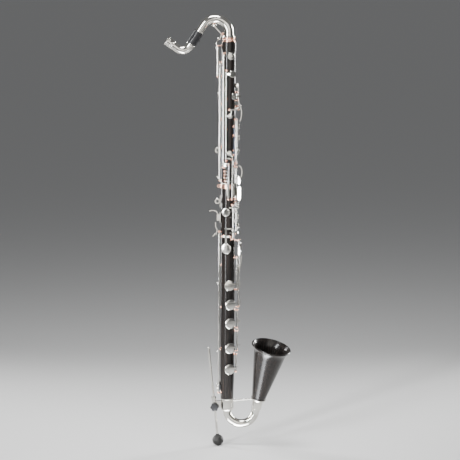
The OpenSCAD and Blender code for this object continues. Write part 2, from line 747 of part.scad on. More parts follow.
// Finger plates: angle, height and diameter.
LEFT_PLATES = [[97, 908, 22], [97, 876, 19], [97, 838, 18]];
RIGHT_PLATES = [[97, 655, 20], [97, 629, 20]];
plate_open = -7;
module plates(h, list) {
    for (p = list) {
        cup(p[0], p[1], p[2]);
        arm(h, p[0], p[1], p[2], 4.4);
        radial(p[0], p[1]) rotate_extrude() polygon([
            [0, arm_level - 0.6], [p[2] / 2 - 3.4, arm_level - 0.6],
            [p[2] / 2 - 2, arm_level + 1.2], [p[2] / 2 - 2, arm_level + 1.8],
            [p[2] / 2 - 4, arm_level + 2.2], [0, arm_level + 1.6]]);
    }
}
module left_hand_key() {
    color(silver) on_body() turned(H_LEFT, plate_open) difference() {
        union() {
            tube(H_LEFT);
            for (z = [892, 858]) collar(H_LEFT, z, 3);
            plates(H_LEFT, LEFT_PLATES);
        }
        tube_bore(H_LEFT);
    }
}
module left_hand_pads() {
    color(felt) on_body() turned(H_LEFT, plate_open)
        for (p = LEFT_PLATES) pad(p[0], p[1], p[2]);
}

module side_key() {
    h = H_SIDE;
    L = [at(26.5, 30.8, 809), at(21, 31, 825), at(11, arm_level, 834)];
    color(silver) on_body() difference() {
        union() {
            tube(h);
            cup(11, 834, 16);
            bar(at(26.5, 26, 809), L[0], 1.7);
            for (i = [0, 1]) bar(L[i], L[i + 1], 1.5);
            for (p = L) translate(p) sphere(r = 1.8);
            round_arm(h, 41, 30.5, 742);
            touch(41, 733, 9, 36, 29.6);
        }
        tube_bore(h);
    }
}
module side_pad() { color(felt) on_body() pad(11, 834, 16); }

module left_finger_lever() {
    h = H_LEVER;
    color(silver) on_body() difference() {
        union() {
            tube(h);
            flat_arm([across(h[0], 0, hinge_r), across(60, 0, 33.8)], 722, 5);
            touch(62, 722, 19, 40, 33.4);
            flat_arm([across(h[0], 0, hinge_r), across(60, 0, 33.4)], 758, 4.4);
            touch(62, 759, 13, 25, 33);
            in_xz(3, -11.5) polygon(strip([[31.6, 762], [37, 770], [38.6, 779], [38.2, 788],
                                        [35, 796], [29, 800]], 2.2));
        }
        tube_bore(h);
    }
}

// ---- Keys of the lower joint ----
module right_hand_key() {
    h = H_FINGER;
    color(silver) on_body() turned(h, plate_open) difference() {
        union() {
            tube(h);
            plates(h, RIGHT_PLATES);
            round_arm(h, 10, 33.5, 683, 3);
            round_arm(h, 86, 31, 683, 3);
            radial(48, 691) translate([0, 0, 33]) rotate([0, 0, -120])
                rotate_extrude(angle = 280) translate([6.6, 0]) circle(r = 1.5);
        }
        tube_bore(h);
    }
}
module right_hand_pads() {
    color(felt) on_body() turned(H_FINGER, plate_open)
        for (p = RIGHT_PLATES) pad(p[0], p[1], p[2]);
}

module right_finger_key() {
    h = H_RIGHT;
    color(silver) on_body() turned(h, 6) difference() {
        union() {
            tube(h);
            cup(-14, 669.5, 23);
            arm(h, -14, 672, 23);
            round_arm(h, 8, 29, 656, 3);
            round_arm(h, 8, 30.5, 613.2, 3.4);
            round_arm(h, 80, 34, 612.8, 4);
        }
        tube_bore(h);
    }
}
module right_finger_pad() { color(felt) on_body() turned(H_RIGHT, 6) pad(-14, 669.5, 23); }

module gate_key() {
    c = C_GATE;
    t = at(c[0] + 90, 1, 0);
    mid = at(c[0], c[1], c[2]);
    color(silver) on_body() difference() {
        union() {
            bar(mid - t * (c[3] - post_gap), mid + t * (c[3] - post_gap), tube_r);
            cup(-10, 567, 28);
            radial(c[0], 0) translate([-2.7, 0, 0]) rotate([90, 0, 90]) linear_extrude(5.4)
                polygon(strip([[626, 29.4], [602, 29.4], [582, 28], [565, arm_level]], arm_t));
            flat_arm([across(-18, 0, 30.2), across(-2, 0, 30.4), across(12, 0, 30.8),
                      across(23, 0, 31)], 624.4, 3.2);
        }
        cross_bore(c);
    }
}
module gate_pad() { color(felt) on_body() pad(-10, 567, 28); }

// The five large keys near the bell: angle, height and diameter of the cup, height of the arm,
// its width, and how far the key stands open.
BASS = [[H_BASS_1, 14, 463, 29, 467, 4, 0], [H_BASS_2, 16, 409, 30, 416, 2.8, 6],
        [H_BASS_3, 15.5, 356, 30, 360, 5, 6], [H_BASS_4, 16, 285, 30, 288, 4, 6],
        [H_BASS_5, 14, 225, 29.5, 227, 4, 6]];
module bass_key(n, tail, tail_z) {
    b = BASS[n];
    p = across(b[0][0], 0, b[0][1]);
    color(silver) on_body() turned(b[0], b[6]) difference() {
        union() {
            tube(b[0]);
            cup(b[1], b[2], b[3]);
            arm(b[0], b[1], b[4], b[3], b[5]);
            for (z = tail_z) flat_arm([p, p + [tail, 0.4]], z, 3);
            children();
        }
        tube_bore(b[0]);
    }
}
module bass_pad(n) {
    b = BASS[n];
    color(felt) on_body() turned(b[0], b[6]) pad(b[1], b[2], b[3]);
}
module bass_key_1() {
    bass_key(0, 13, [467, 457.5]) {
        flat_arm([across(72, 0, 26.5), [32.6, -8.6]], 508, 5);
        in_xz(7, -8.6) polygon(strip([[33, 498], [33.6, 512], [36.8, 526], [38.4, 548]], 2.2));
    }
}
module bass_key_2() {
    h = H_BASS_2;
    bass_key(1, 7, [416, 409.6]) {
        arm(h, 16, 409.6, 30, 2.8);
        round_arm(h, 76, 37.5, 571, 5);
        touch(75, 571, 12, 29, 36.6);
        round_arm(h, 58, 35.4, 558, 5);
        touch(56, 561, 10, 25, 34.5);
        for (z = [552, 582]) collar(h, z, 4);
    }
}
module bass_key_3() { bass_key(2, 9, [361.5, 358.5]); }
module bass_key_4() { bass_key(3, 9, [291]); }
module bass_key_5() { bass_key(4, 7, [229]); }
module bass_pad_1() { bass_pad(0); }
module bass_pad_2() { bass_pad(1); }
module bass_pad_3() { bass_pad(2); }
module bass_pad_4() { bass_pad(3); }
module bass_pad_5() { bass_pad(4); }

// The lowest key: a long tube down the side, with its thumb piece at the top.
low_c_open = 5;
module low_c_key() {
    h = H_LOW_C;
    color(silver) on_body() turned(h, low_c_open) difference() {
        union() {
            tube(h);
            cup(-106, 172, 27);
            arm(h, -106, 172, 27);
            for (z = [467, 275]) translate(at(-73, 27.4, z)) sphere(r = 2.6);
            flat_arm([across(-66, 0, hinge_r), [-30, -5.5], [-37, -4]], 604, 7);
            in_xz(9, -3.5) polygon(strip([[-34, 640], [-34, 627], [-29.5, 619], [-31, 611],
                                          [-36, 606], [-42, 600]], 2.2));
        }
        tube_bore(h);
    }
}
module low_c_pad() { color(felt) on_body() turned(H_LOW_C, low_c_open) pad(-106, 172, 27); }

// ---- Bow, bell and floor peg ----
bow_z = 105;
bow_wall = 1.2;
bow_turn = 180 - bell_lean;
side_bend_r = 60;
bow_end = [bow_r - bow_r * cos(bow_turn), 0, bow_z - bow_r * sin(bow_turn)];
ferrule_r = 17;
ferrule_l = 33;
bell_ferrule_l = 33;
bell_foot_r = 20;

// Local +Z runs up the bell, from the end of the bow.
module at_bow_end() { translate(bow_end) rotate([0, bell_lean, 0]) children(); }
module in_bell() {
    at_bow_end() translate([0, -side_bend_r * (1 - cos(bell_side_lean)),
                            side_bend_r * sin(bell_side_lean)])
        rotate([bell_side_lean, 0, 0]) children();
}
// The bow turns up under the body, then bends sideways into the bell.
BOW_STEPS = 30;
SIDE_STEPS = 4;
function bow_station(p, along, side) = [p, along, side, bow_tube_r, bow_tube_r - bow_wall];
bow_out = [-cos(bell_lean), 0, sin(bell_lean)];
bow_up = [sin(bell_lean), 0, cos(bell_lean)];
function side_way(t) = cos(t) * bow_up - [0, sin(t), 0];
function side_place(t) = bow_end + side_bend_r * (sin(t) * bow_up - [0, 1 - cos(t), 0]);
BOW_PATH = concat(
    [bow_station([0, 0, bow_z + 12], [0, 0, -1], [1, 0, 0])],
    [for (i = [0 : BOW_STEPS]) let (t = bow_turn * i / BOW_STEPS)
        bow_station([bow_r - bow_r * cos(t), 0, bow_z - bow_r * sin(t)],
                    [sin(t), 0, -cos(t)], [cos(t), 0, sin(t)])],
    [for (i = [1 : SIDE_STEPS]) let (t = bell_side_lean * i / SIDE_STEPS)
        bow_station(side_place(t), side_way(t), bow_out)],
    [bow_station(side_place(bell_side_lean) + 8 * side_way(bell_side_lean),
                 side_way(bell_side_lean), bow_out)]);
module bow() { color(silver) on_body() hollow_sweep(BOW_PATH); }

// Axis of the peg: local +Z runs up the rod from the middle of the rubber ball.
module on_peg() { translate([0, 0, peg_ball_r]) rotate([0, -peg_lean, 0]) children(); }
holder_low = 90;
holder_h = 36;
module body_ferrule() {
    color(silver) difference() {
        union() {
            on_body() rotate_extrude() polygon([
                [bow_tube_r + 0.03, bow_z - 1], [ferrule_r - 0.8, bow_z - 1],
                [ferrule_r, bow_z + 0.5], [ferrule_r, foot_z - 3], [ferrule_r + 1, foot_z - 2.2],
                [ferrule_r + 1, foot_z - 0.05], [foot_r - 2.8, foot_z - 0.05],
                [foot_r - 2.8, foot_z - 18.5], [bow_tube_r + 0.03, foot_z - 18.5]]);
            on_peg() translate([0, 0, holder_low]) cylinder(r = 6.2, h = holder_h);
            on_peg() translate([0, 0, holder_low + holder_h - 5]) cylinder(r = 7.2, h = 5);
            translate([-8, -4, 110]) cube([axis_x - 7, 8, 20]);
            translate([-9, -7, 114]) cube([8, 14, 12]);
        }
        on_body() translate([0, 0, bow_z - 2]) cylinder(r = bow_tube_r + 0.03, h = 30);
        on_body() translate([0, 0, foot_z - 18.5]) cylinder(r = foot_r - 2.8, h = 30);
        on_peg() cylinder(r = peg_r + 0.05, h = 200);
        on_peg() translate([0, 0, screw_z]) rotate([90, 0, 0]) cylinder(r = 2.55, h = 30);
    }
}
screw_z = 98;
module peg_screw() {
    color(black) on_peg() translate([0, 0, screw_z]) rotate([90, 0, 0]) {
        translate([0, 0, peg_r + 0.3]) cylinder(r = 2.5, h = 9);
        translate([0, 0, 8]) difference() {
            rotate_extrude() polygon([[0, 0], [11, 0], [12.4, 1.2], [12.4, 8], [11, 9.2],
                                      [5, 9.8], [0, 9.8]]);
            for (i = [0 : 5]) rotate([0, 0, i * 60]) translate([13.6, 0, -1])
                cylinder(r = 4, h = 14);
        }
    }
}
peg_l = 268;
module peg_rod() {
    color(silver) on_peg() union() {
        translate([0, 0, 6]) cylinder(r = peg_r, h = peg_l - 7);
        translate([0, 0, peg_l - 1]) cylinder(r1 = peg_r, r2 = peg_r - 1, h = 1);
    }
}
module peg_ball() {
    color(black) on_peg() difference() {
        union() {
            sphere(r = peg_ball_r);
            cylinder(r = 5, h = peg_ball_r + 2);
        }
        translate([0, 0, 6]) cylinder(r = peg_r, h = 30);
    }
}

module bell_ferrule() {
    color(silver) on_body() in_bell() rotate_extrude() polygon([
        [bow_tube_r + 0.03, 0], [13.6, 0], [14.4, 1.5], [14.4, 25], [16, 28.5],
        [bell_foot_r + 0.8, 29.5], [bell_foot_r + 1.4, 31], [bell_foot_r + 1.4, bell_ferrule_l],
        [13, bell_ferrule_l], [13, 10], [bow_tube_r + 0.03, 10]]);
}

// A turned brace with a rope-like ripple, between foot plates on the two ferrules.
module bow_brace() {
    a = [ferrule_r + 2, 0, foot_z - 6];
    b = [70.5, -4.6, foot_z - 1];
    l = norm(b - a);
    ripples = 9;
    steps = ripples * 8;
    color(silver) on_body() {
        between(a, b) rotate_extrude() polygon(concat([[0, 0]],
            [for (i = [0 : steps]) [1.8 + 0.35 * sin(i * 45), l * i / steps]], [[0, l]]));
        translate([ferrule_r + 0.05, -3, bow_z + 4]) cube([2.1, 6, 24.5]);
    }
}

// The bell, with a straight cone inside and a rolled lip.
module bell() {
    lip = bell_l - 3;
    cone_top = lip - 14;
    cone_r = mouth_r - 9.4;
    color(wood) on_body() in_bell() translate([0, 0, bell_ferrule_l]) rotate_extrude()
        polygon(concat(
            [[10.6, -18], [12.95, -18], [12.95, 0], [bell_foot_r, 0],
             [bell_foot_r + 0.6, 6], [cone_r, cone_top], [cone_r + 2.6, cone_top + 7],
             [mouth_r - 2.6, lip - 2.4]],
            [for (i = [-3 : 5]) [mouth_r - 2, lip + 0.6] + 2.4 * [cos(i * 30), sin(i * 30)]],
            [[mouth_r - 8, lip - 3], [cone_r - 1.6, cone_top + 5], [cone_r - 3.4, cone_top - 3],
             [10.6, 10]]));
}

upper_joint();
lower_joint();
copper_rings();
tenon_corks();
neck_tenon();
neck_tube();
neck_sleeve();
neck_lower_tube();
mouthpiece_receiver();
neck_register_key();
neck_register_pad();
upper_posts();
lower_posts();
hinge_rods();
needle_springs();
strap_rings();
thumb_rest();
body_ferrule();
bow();
bell_ferrule();
bow_brace();
bell();
peg_screw();
peg_rod();
peg_ball();
register_lever();
register_thumb_key();
trill_key_1();
trill_pad_1();
trill_key_2();
trill_pad_2();
throat_a_key();
throat_a_pad();
throat_g_sharp_key();
throat_g_sharp_pad();
cross_key();
cross_pad();
left_hand_key();
left_hand_pads();
side_key();
side_pad();
left_finger_lever();
right_hand_key();
right_hand_pads();
right_finger_key();
right_finger_pad();
gate_key();
gate_pad();
bass_key_1();
bass_pad_1();
bass_key_2();
bass_pad_2();
bass_key_3();
bass_pad_3();
bass_key_4();
bass_pad_4();
bass_key_5();
bass_pad_5();
low_c_key();
low_c_pad();
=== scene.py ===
import json
import math

import bpy
import bmesh
from mathutils import Matrix, Quaternion, Vector


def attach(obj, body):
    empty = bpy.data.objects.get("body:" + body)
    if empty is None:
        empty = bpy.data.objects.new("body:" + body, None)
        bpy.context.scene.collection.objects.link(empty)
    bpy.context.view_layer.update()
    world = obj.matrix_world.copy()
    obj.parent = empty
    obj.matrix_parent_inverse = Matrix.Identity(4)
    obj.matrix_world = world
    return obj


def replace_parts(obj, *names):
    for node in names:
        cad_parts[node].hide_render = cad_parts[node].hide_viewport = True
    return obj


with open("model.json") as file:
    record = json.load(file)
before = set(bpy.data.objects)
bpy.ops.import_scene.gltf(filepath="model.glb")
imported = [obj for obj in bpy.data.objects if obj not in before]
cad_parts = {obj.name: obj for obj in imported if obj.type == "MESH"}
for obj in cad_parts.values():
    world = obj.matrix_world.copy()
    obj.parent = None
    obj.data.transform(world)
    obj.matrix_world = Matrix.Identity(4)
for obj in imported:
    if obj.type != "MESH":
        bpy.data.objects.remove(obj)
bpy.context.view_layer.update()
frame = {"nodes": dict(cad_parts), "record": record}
nodes = frame["nodes"]

MM = 0.001


# ---------------------------------------------------------------- materials
NOISE_RANGE = (0.3, 0.7)


def shader(name, base, metallic=0.0, roughness=0.4):
    """A new material and its Principled shader."""
    mat = bpy.data.materials.new(name)
    mat.use_nodes = True
    bsdf = mat.node_tree.nodes["Principled BSDF"]
    bsdf.inputs["Base Color"].default_value = (*base, 1)
    bsdf.inputs["Metallic"].default_value = metallic
    bsdf.inputs["Roughness"].default_value = roughness
    return mat, bsdf


def add(mat, kind, **values):
    """A new node, with the given values on the sockets or settings of those names."""
    node = mat.node_tree.nodes.new(kind)
    for key, value in values.items():
        socket = node.inputs.get(key)
        if socket is not None:
            socket.default_value = value
        else:
            setattr(node, key, value)
    return node


def link(mat, a, b):
    """Joins an output socket to an input socket."""
    mat.node_tree.links.new(a, b)


def mapped_noise(mat, scale, size, detail=4.0, roughness=0.5, rotation=(0, 0, 0)):
    """Noise in object coordinates, stretched by scale. Returns its Fac socket."""
    coords = add(mat, "ShaderNodeTexCoord")
    mapping = add(mat, "ShaderNodeMapping", Scale=scale, Rotation=rotation)
    noise = add(mat, "ShaderNodeTexNoise", Scale=size, Detail=detail, Roughness=roughness)
    link(mat, coords.outputs["Object"], mapping.inputs["Vector"])
    link(mat, mapping.outputs["Vector"], noise.inputs["Vector"])
    return noise.outputs["Fac"]


def ramp(mat, factor, stops):
    """A colour ramp with the given (place, colour) stops. Returns its colour socket."""
    node = add(mat, "ShaderNodeValToRGB")
    band = node.color_ramp
    while len(band.elements) < len(stops):
        band.elements.new(0.5)
    for element, (place, colour) in zip(band.elements, stops):
        element.position = place
        element.color = (*colour, 1)
    link(mat, factor, node.inputs["Fac"])
    return node.outputs["Color"]


def remap(mat, factor, low, high):
    """Maps noise, which mostly stays in NOISE_RANGE, to low..high."""
    node = add(mat, "ShaderNodeMapRange")
    node.inputs["From Min"].default_value = NOISE_RANGE[0]
    node.inputs["From Max"].default_value = NOISE_RANGE[1]
    node.inputs["To Min"].default_value = low
    node.inputs["To Max"].default_value = high
    link(mat, factor, node.inputs["Value"])
    return node.outputs["Result"]


def bump(mat, bsdf, height, strength, distance):
    """Roughens the surface of a shader by a height factor."""
    node = add(mat, "ShaderNodeBump", Strength=strength, Distance=distance)
    link(mat, height, node.inputs["Height"])
    link(mat, node.outputs["Normal"], bsdf.inputs["Normal"])


def wood(name, rotation=(0, 0, 0)):
    """Oiled grenadilla: nearly black, with fine brown grain and open pores along the bore."""
    grain_scale = (420, 420, 9)
    pore_scale = (1500, 1500, 45)
    black, dark, brown = (0.004, 0.0037, 0.0036), (0.009, 0.0075, 0.007), (0.022, 0.015, 0.012)
    # A reader without the node textures sees this plain colour and roughness.
    mat, bsdf = shader(name, (0.02, 0.014, 0.012), roughness=0.32)
    grain = mapped_noise(mat, grain_scale, 1.0, detail=6.0, roughness=0.62, rotation=rotation)
    colour = ramp(mat, grain, [(0.36, black), (0.52, dark), (0.66, brown)])
    link(mat, colour, bsdf.inputs["Base Color"])
    pores = mapped_noise(mat, pore_scale, 1.0, detail=3.0, rotation=rotation)
    link(mat, remap(mat, pores, 0.17, 0.32), bsdf.inputs["Roughness"])
    bump(mat, bsdf, pores, 0.16, 0.0002)
    bsdf.inputs["Specular IOR Level"].default_value = 0.26
    bsdf.inputs["Coat Weight"].default_value = 0.12
    bsdf.inputs["Coat Roughness"].default_value = 0.10
    return mat


def metal(name, light, dark, rough_low, rough_high, scale=60.0):
    """Plated metal: slightly uneven polish, faint handling marks and darker tarnish patches."""
    mat, bsdf = shader(name, light, metallic=1.0, roughness=rough_low)
    patches = mapped_noise(mat, (1, 1, 1), scale, detail=5.0, roughness=0.6)
    link(mat, ramp(mat, patches, [(0.35, dark), (0.6, light)]), bsdf.inputs["Base Color"])
    marks = mapped_noise(mat, (1, 1, 0.3), scale * 9, detail=3.0)
    link(mat, remap(mat, marks, rough_low, rough_high), bsdf.inputs["Roughness"])
    bump(mat, bsdf, marks, 0.03, 0.0001)
    return mat


def speckled(name, low, high, size, roughness, strength, distance, specular=0.5):
    """A matt material with grain in its colour and surface, such as cork, skin or rubber."""
    mat, bsdf = shader(name, low, roughness=roughness)
    bsdf.inputs["Specular IOR Level"].default_value = specular
    grain = mapped_noise(mat, (1, 1, 1), size, detail=5.0, roughness=0.65)
    link(mat, ramp(mat, grain, [(0.35, low), (0.65, high)]), bsdf.inputs["Base Color"])
    link(mat, remap(mat, grain, roughness - 0.08, roughness + 0.08), bsdf.inputs["Roughness"])
    bump(mat, bsdf, grain, strength, distance)
    return mat


BELL_LEAN = math.radians(12.6)
BELL_SIDE_LEAN = math.radians(12.0)
MATERIALS = {
    "grenadilla": wood("grenadilla"),
    "copper_fittings": metal("copper_plate", (0.80, 0.50, 0.39), (0.60, 0.34, 0.25), 0.16, 0.30),
    "cork": speckled("cork", (0.42, 0.27, 0.14), (0.66, 0.48, 0.29), 900.0, 0.8, 0.5, 0.0003),
    "black_sleeve": speckled("black_sleeve", (0.008, 0.008, 0.009), (0.016, 0.016, 0.017),
                             700.0, 0.34, 0.08, 0.0001, 0.25),
    "black_rubber": speckled("black_rubber", (0.010, 0.010, 0.010), (0.022, 0.021, 0.020),
                             400.0, 0.55, 0.2, 0.0002, 0.3),
    "black_knob": speckled("black_knob", (0.010, 0.010, 0.011), (0.02, 0.02, 0.021),
                           800.0, 0.36, 0.15, 0.0001, 0.22),
    "pads": speckled("pad_skin", (0.66, 0.56, 0.42), (0.82, 0.74, 0.61), 600.0, 0.7, 0.2, 0.0002),
    "blued_steel": metal("blued_steel", (0.20, 0.25, 0.36), (0.10, 0.12, 0.20), 0.25, 0.4),
    "steel_rods": metal("steel", (0.66, 0.66, 0.64), (0.50, 0.50, 0.49), 0.14, 0.28),
    "silver_tube": metal("silver_tube", (0.70, 0.685, 0.64), (0.50, 0.48, 0.44), 0.05, 0.14, 25.0),
    "silver_keys": metal("silver_keys", (0.74, 0.73, 0.69), (0.56, 0.54, 0.50), 0.07, 0.18),
}
BELL_WOOD = wood("grenadilla_bell", (-BELL_SIDE_LEAN, -BELL_LEAN, 0))


def finish_node(obj, mat):
    """Gives every material slot of an object the material."""
    if not obj.material_slots:
        obj.data.materials.append(mat)
    for slot in obj.material_slots:
        slot.material = mat


for part in frame["record"]["subparts"]:
    finish_node(nodes[part["node"]], MATERIALS[part["material_slot"]])
finish_node(nodes["bell"], BELL_WOOD)


# ---------------------------------------------------------------- building pieces
BORE_X = 25.0


def new_piece(name, bm, slot, body="body", mat=None, sharp=40):
    """Turns a bmesh in millimetres into a smooth piece that rides on a body."""
    bmesh.ops.recalc_face_normals(bm, faces=bm.faces)
    bmesh.ops.scale(bm, vec=(MM, MM, MM), verts=bm.verts)
    mesh = bpy.data.meshes.new(name)
    bm.to_mesh(mesh)
    bm.free()
    mesh.shade_smooth()
    mesh.set_sharp_from_angle(angle=math.radians(sharp))
    obj = bpy.data.objects.new(name, mesh)
    obj.data.materials.append(mat or MATERIALS[slot])
    bpy.context.scene.collection.objects.link(obj)
    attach(obj, body)
    return obj


def loft(bm, rings, closed=False):
    """Skins a list of rings of points with quads, and returns the rings of vertices."""
    rows = [[bm.verts.new(p) for p in ring] for ring in rings]
    count = len(rows[0])
    for i in range(len(rows) if closed else len(rows) - 1):
        a, b = rows[i], rows[(i + 1) % len(rows)]
        for k in range(count):
            bm.faces.new((a[k], a[(k + 1) % count], b[(k + 1) % count], b[k]))
    return rows


def circle(place, along, first, radius, sides):
    """A ring of points round a place on a line."""
    second = along.cross(first)
    return [place + radius * (math.cos(t) * first + math.sin(t) * second)
            for t in (2 * math.pi * k / sides for k in range(sides))]


def lathe(bm, profile, matrix, sides=72):
    """A turned solid from a profile of (radius, height), closed at the axis or as a loop."""
    on_axis = [abs(r) < 1e-6 for r, z in profile]
    rings = []
    for (r, z), tip in zip(profile, on_axis):
        if tip:
            rings.append([bm.verts.new(matrix @ Vector((0, 0, z)))])
            continue
        rings.append([bm.verts.new(matrix @ Vector((r * math.cos(t), r * math.sin(t), z)))
                      for t in (2 * math.pi * k / sides for k in range(sides))])
    loop = not any(on_axis)
    for i in range(len(rings) if loop else len(rings) - 1):
        a, b = rings[i], rings[(i + 1) % len(rings)]
        for k in range(sides):
            n = (k + 1) % sides
            corners = [a[0] if len(a) == 1 else a[k]]
            if len(a) > 1:
                corners.append(a[n])
            if len(b) > 1:
                corners.append(b[n])
            corners.append(b[0] if len(b) == 1 else b[k])
            if len(set(corners)) > 2:
                bm.faces.new(corners)


def flat_heading(degrees):
    """Direction in the XZ plane, and the one across it."""
    t = math.radians(degrees)
    return Vector((math.cos(t), 0, math.sin(t))), Vector((-math.sin(t), 0, math.cos(t)))


def frame_along(place, along, first):
    """Matrix whose local +Z runs along a direction from a place."""
    second = along.cross(first)
    m = Matrix((first, second, along)).transposed().to_4x4()
    m.translation = place
    return m


def rounded(points, radius, steps=4):
    """Rounds the corners of an open (radius, height) outline, except its ends."""
    out = [points[0]]
    for before, corner, after in zip(points, points[1:], points[2:]):
        a, b, c = Vector(before), Vector(corner), Vector(after)
        cut = min(radius, (a - b).length * 0.45, (c - b).length * 0.45)
        p, q = b + (a - b).normalized() * cut, b + (c - b).normalized() * cut
        for k in range(steps + 1):
            t = k / steps
            out.append(tuple((1 - t) ** 2 * p + 2 * t * (1 - t) * b + t * t * q))
    out.append(points[-1])
    return out


# ---------------------------------------------------------------- neck
# Distances along the neck are measured from the end of the arch.
ARCH_R, ARCH_TURN, ARCH_Z = 37.8, 146.6, 1167.0
NECK_R0, NECK_R1, NECK_WALL = 14.5, 11.3, 1.2
COLLAR_Z, IN_COLLAR = 1154.0, 5
NECK_TAPER_START = 0.06
SLEEVE_START, SLEEVE_L, IN_SLEEVE = 23.0, 40.0, 15
SLIDE_START = SLEEVE_START + 18.5
BEND_LEAD = 7
BEND_R, BEND_TURN, BEND_TUBE_R = 24.6, 93.0, 11.7
RECEIVER_LEAD, RECEIVER_L, RECEIVER_R, RECEIVER_BORE_R = 13.0, 23.0, 13.4, 11.2
HEADING = 90 + ARCH_TURN
ARCH_MID = Vector((BORE_X - ARCH_R, 0, ARCH_Z))
NECK_DIR, NECK_SIDE = flat_heading(HEADING)
ARCH_END = ARCH_MID + ARCH_R * flat_heading(ARCH_TURN)[0]
BEND_START = ARCH_END + NECK_DIR * (SLEEVE_START + SLEEVE_L + BEND_LEAD)
BEND_MID = BEND_START - BEND_R * flat_heading(HEADING + 90)[0]
BEND_END = BEND_MID + BEND_R * flat_heading(HEADING + 90 - BEND_TURN)[0]
OUT_DIR, OUT_SIDE = flat_heading(HEADING - BEND_TURN)
RECEIVER_START = BEND_END + RECEIVER_LEAD * OUT_DIR


def swept_tube(name, stations, slot, body="body", sides=96):
    """A hollow tube through stations of (place, along, first, outer radius, inner radius)."""
    bm = bmesh.new()
    outer = [circle(p, d, f, r, sides) for p, d, f, r, i in stations]
    inner = [circle(p, d, f, i, sides) for p, d, f, r, i in stations]
    loft(bm, outer + inner[::-1], closed=True)
    return new_piece(name, bm, slot, body, sharp=50)


def neck_tube():
    """The arched upper tube, which narrows towards the sleeve."""
    stations = []

    def station(place, heading, done):
        r = NECK_R0 + (NECK_R1 - NECK_R0) * done
        stations.append((place, *flat_heading(heading), r, r - NECK_WALL))

    station(Vector((BORE_X, 0, COLLAR_Z + IN_COLLAR)), 90, 0)
    station(Vector((BORE_X, 0, ARCH_Z)), 90, NECK_TAPER_START)
    steps = 72
    for i in range(1, steps + 1):
        t = ARCH_TURN * i / steps
        done = NECK_TAPER_START + (1 - NECK_TAPER_START) * i / steps
        station(ARCH_MID + ARCH_R * flat_heading(t)[0], 90 + t, done)
    for along in (SLEEVE_START, SLEEVE_START + IN_SLEEVE):
        station(ARCH_END + along * NECK_DIR, HEADING, 1)
    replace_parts(swept_tube("neck_upper_tube", stations, "silver_tube"), "neck_tube")


def neck_lower():
    """The sliding lower tube, with a bead where it leaves the sleeve, and its bend."""
    inner = NECK_R1 - NECK_WALL
    stations = []
    bead = SLEEVE_START + SLEEVE_L + 1
    bead_l, bead_r, edge = 2.4, 12.6, 0.3
    for along, r in ((SLIDE_START, NECK_R1), (bead, NECK_R1), (bead, bead_r - edge),
                     (bead + edge, bead_r), (bead + bead_l - edge, bead_r),
                     (bead + bead_l, bead_r - edge), (bead + bead_l, BEND_TUBE_R)):
        stations.append((ARCH_END + along * NECK_DIR, NECK_DIR, NECK_SIDE, r, inner))
    steps = 48
    for i in range(steps + 1):
        t = BEND_TURN * i / steps
        place = BEND_MID + BEND_R * flat_heading(HEADING + 90 - t)[0]
        stations.append((place, *flat_heading(HEADING - t), BEND_TUBE_R, inner))
    stations.append((RECEIVER_START, OUT_DIR, OUT_SIDE, BEND_TUBE_R, inner))
    tube = swept_tube("neck_lower_bend", stations, "silver_tube", "neck_lower")
    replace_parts(tube, "neck_lower_tube")


def receiver():
    """The mouthpiece socket, with a bead at each end and two turned lines."""
    wall_r = RECEIVER_R - 0.4
    line_r = wall_r - 0.25
    tube_bore_r = NECK_R1 - NECK_WALL
    outside = [(tube_bore_r, 0), (BEND_TUBE_R + 0.8, 0), (RECEIVER_R, 1.0), (RECEIVER_R, 2.4),
               (wall_r, 3.0), (wall_r, 6.6), (line_r, 6.8), (line_r, 7.2), (wall_r, 7.4),
               (wall_r, RECEIVER_L - 7.4), (line_r, RECEIVER_L - 7.2),
               (line_r, RECEIVER_L - 6.8), (wall_r, RECEIVER_L - 6.6), (wall_r, RECEIVER_L - 3.2),
               (RECEIVER_R + 0.3, RECEIVER_L - 2.6), (RECEIVER_R + 0.3, RECEIVER_L),
               (RECEIVER_BORE_R, RECEIVER_L), (RECEIVER_BORE_R, 3.0), (tube_bore_r, 3.0)]
    bm = bmesh.new()
    lathe(bm, rounded(outside, 0.35), frame_along(RECEIVER_START, OUT_DIR, OUT_SIDE), 96)
    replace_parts(new_piece("receiver", bm, "silver_tube", "neck_lower"), "mouthpiece_receiver")


# ---------------------------------------------------------------- bow, bell and brace
BOW_R, BOW_TUBE_R, BOW_WALL, BOW_Z = 40.3, 11.5, 1.2, 105.0
SIDE_BEND_R = 60.0
BOW_TURN = math.pi - BELL_LEAN


def on_bow(turn):
    """A point of the bow's centre line, after it has turned by an angle."""
    return Vector((BORE_X + BOW_R - BOW_R * math.cos(turn), 0, BOW_Z - BOW_R * math.sin(turn)))


BOW_END = on_bow(BOW_TURN)
BOW_OUT = Vector((-math.cos(BELL_LEAN), 0, math.sin(BELL_LEAN)))
BOW_UP = Vector((math.sin(BELL_LEAN), 0, math.cos(BELL_LEAN)))
BELL_DIR = math.cos(BELL_SIDE_LEAN) * BOW_UP - math.sin(BELL_SIDE_LEAN) * Vector((0, 1, 0))
BELL_FOOT = BOW_END + SIDE_BEND_R * (math.sin(BELL_SIDE_LEAN) * BOW_UP
                                     - (1 - math.cos(BELL_SIDE_LEAN)) * Vector((0, 1, 0)))
FERRULE_L, BELL_FOOT_R, BELL_L, MOUTH_R = 33.0, 20.0, 162.0, 56.0
BRACE_FROM = (BORE_X + 19, 0, 131)
BRACE_TO = (BORE_X + 70.5, -4.6, 136)


def in_bell(height):
    """Matrix at a height above the bell's foot, with local +Z towards the mouth."""
    return frame_along(BELL_FOOT + height * BELL_DIR, BELL_DIR, BOW_OUT)


